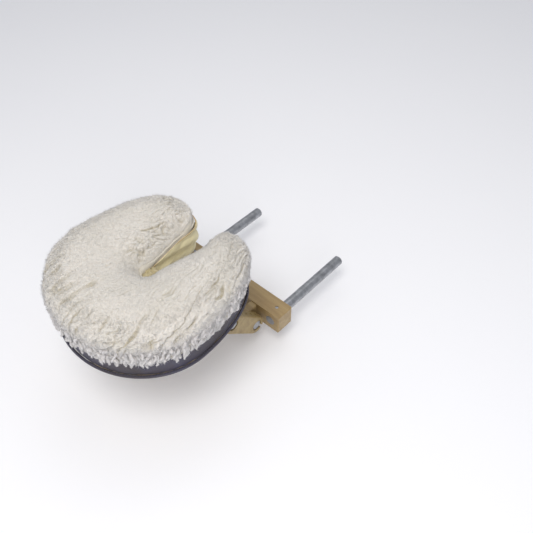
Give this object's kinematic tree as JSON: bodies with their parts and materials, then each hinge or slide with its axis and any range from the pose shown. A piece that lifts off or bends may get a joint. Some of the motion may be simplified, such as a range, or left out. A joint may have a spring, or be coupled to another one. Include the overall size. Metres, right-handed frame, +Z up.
{
  "type": "face cradle cushion",
  "caption": "Crescent face cushion with a removable fleece cover, on a wooden cradle with tilt and height joints, cam levers and two posts for a treatment table.",
  "frame": {"origin": "midway between the two posts, on the crossbar's rear face, where the cradle meets the table's end", "axes": "+Z up, +Y along the posts towards the table, +X towards the right side seen from the head end"},
  "size_m": [0.292, 0.5131, 0.2748],
  "materials": {
    "fleece": "deep off-white sherpa pile, matt",
    "cream_cloth": "smooth cream woven cloth, slight sheen",
    "elastic": "flat knitted elastic",
    "slate_vinyl": "fine-grained slate blue-grey upholstery vinyl, satin",
    "foam": "open-cell foam, matt",
    "plywood": "birch plywood, clear satin lacquer",
    "maple": "tan hardwood, clear satin lacquer",
    "hook_tape": "black nylon hook tape",
    "loop_tape": "black loop tape",
    "steel": "zinc-plated steel",
    "nylon": "natural nylon",
    "lever_plastic": "black moulded nylon, lightly textured"
  },
  "bodies": {
    "base": {"crossbar": "maple", "ear_left": "maple", "ear_right": "maple", "ear_screw_left_lower": "steel", "ear_screw_left_upper": "steel", "ear_screw_right_lower": "steel", "ear_screw_right_upper": "steel", "post_left": "maple", "post_right": "maple", "post_pin_left": "maple", "post_pin_right": "maple", "height_rod": "steel", "height_nut": "steel", "height_cam_washer": "steel", "height_friction_disc_left": "nylon", "height_friction_disc_right": "nylon", "height_lever_pin": "steel"},
    "links": {"link_left": "maple", "link_right": "maple", "link_stretcher": "maple", "tilt_rod": "steel", "tilt_nut": "steel", "tilt_cam_washer": "steel", "tilt_friction_disc_left": "nylon", "tilt_friction_disc_right": "nylon", "tilt_lever_pin": "steel"},
    "platform": {"platform_board": "plywood", "bracket_left": "maple", "bracket_right": "maple", "bracket_screw_left_front": "steel", "bracket_screw_left_back": "steel", "bracket_screw_right_front": "steel", "bracket_screw_right_back": "steel", "hook_strip_left": "hook_tape", "hook_strip_right": "hook_tape"},
    "pad": {"top_panel": "slate_vinyl", "bottom_panel": "slate_vinyl", "outer_boxing": "slate_vinyl", "inner_boxing": "slate_vinyl", "top_welt": "slate_vinyl", "bottom_welt": "slate_vinyl", "base_board": "plywood", "firm_foam": "foam", "soft_foam": "foam", "loop_strip_left": "loop_tape", "loop_strip_right": "loop_tape"},
    "cover": {"fleece_cover": "fleece", "opening_liner": "cream_cloth", "hem_casing": "cream_cloth", "hem_elastic": "elastic"},
    "height_lever": {"height_lever": "lever_plastic"},
    "tilt_lever": {"tilt_lever": "lever_plastic"}
  },
  "joints": [
    {"name": "height_hinge", "type": "hinge", "parent": "base", "child": "links", "pos_m": [0, -0.06, 0], "axis": [1, 0, 0], "range_deg": [-20, 30]},
    {"name": "tilt_hinge", "type": "hinge", "parent": "links", "child": "platform", "pos_m": [0, -0.11611, 0.05418], "axis": [1, 0, 0], "range_deg": [-30, 40]},
    {"name": "pad_lift", "type": "slide", "parent": "platform", "child": "pad", "axis": [0, 0, 1], "range_m": [0, 0.08]},
    {"name": "cover_lift", "type": "slide", "parent": "pad", "child": "cover", "axis": [0, 0, 1], "range_m": [0, 0.12]},
    {"name": "height_lever_hinge", "type": "hinge", "parent": "base", "child": "height_lever", "pos_m": [-0.1109, -0.06, 0], "axis": [0, 0.7193, -0.6947], "range_deg": [0, 95]},
    {"name": "tilt_lever_hinge", "type": "hinge", "parent": "links", "child": "tilt_lever", "pos_m": [-0.1109, -0.11611, 0.05418], "axis": [0, 0.7193, -0.6947], "range_deg": [0, 95]}
  ]
}
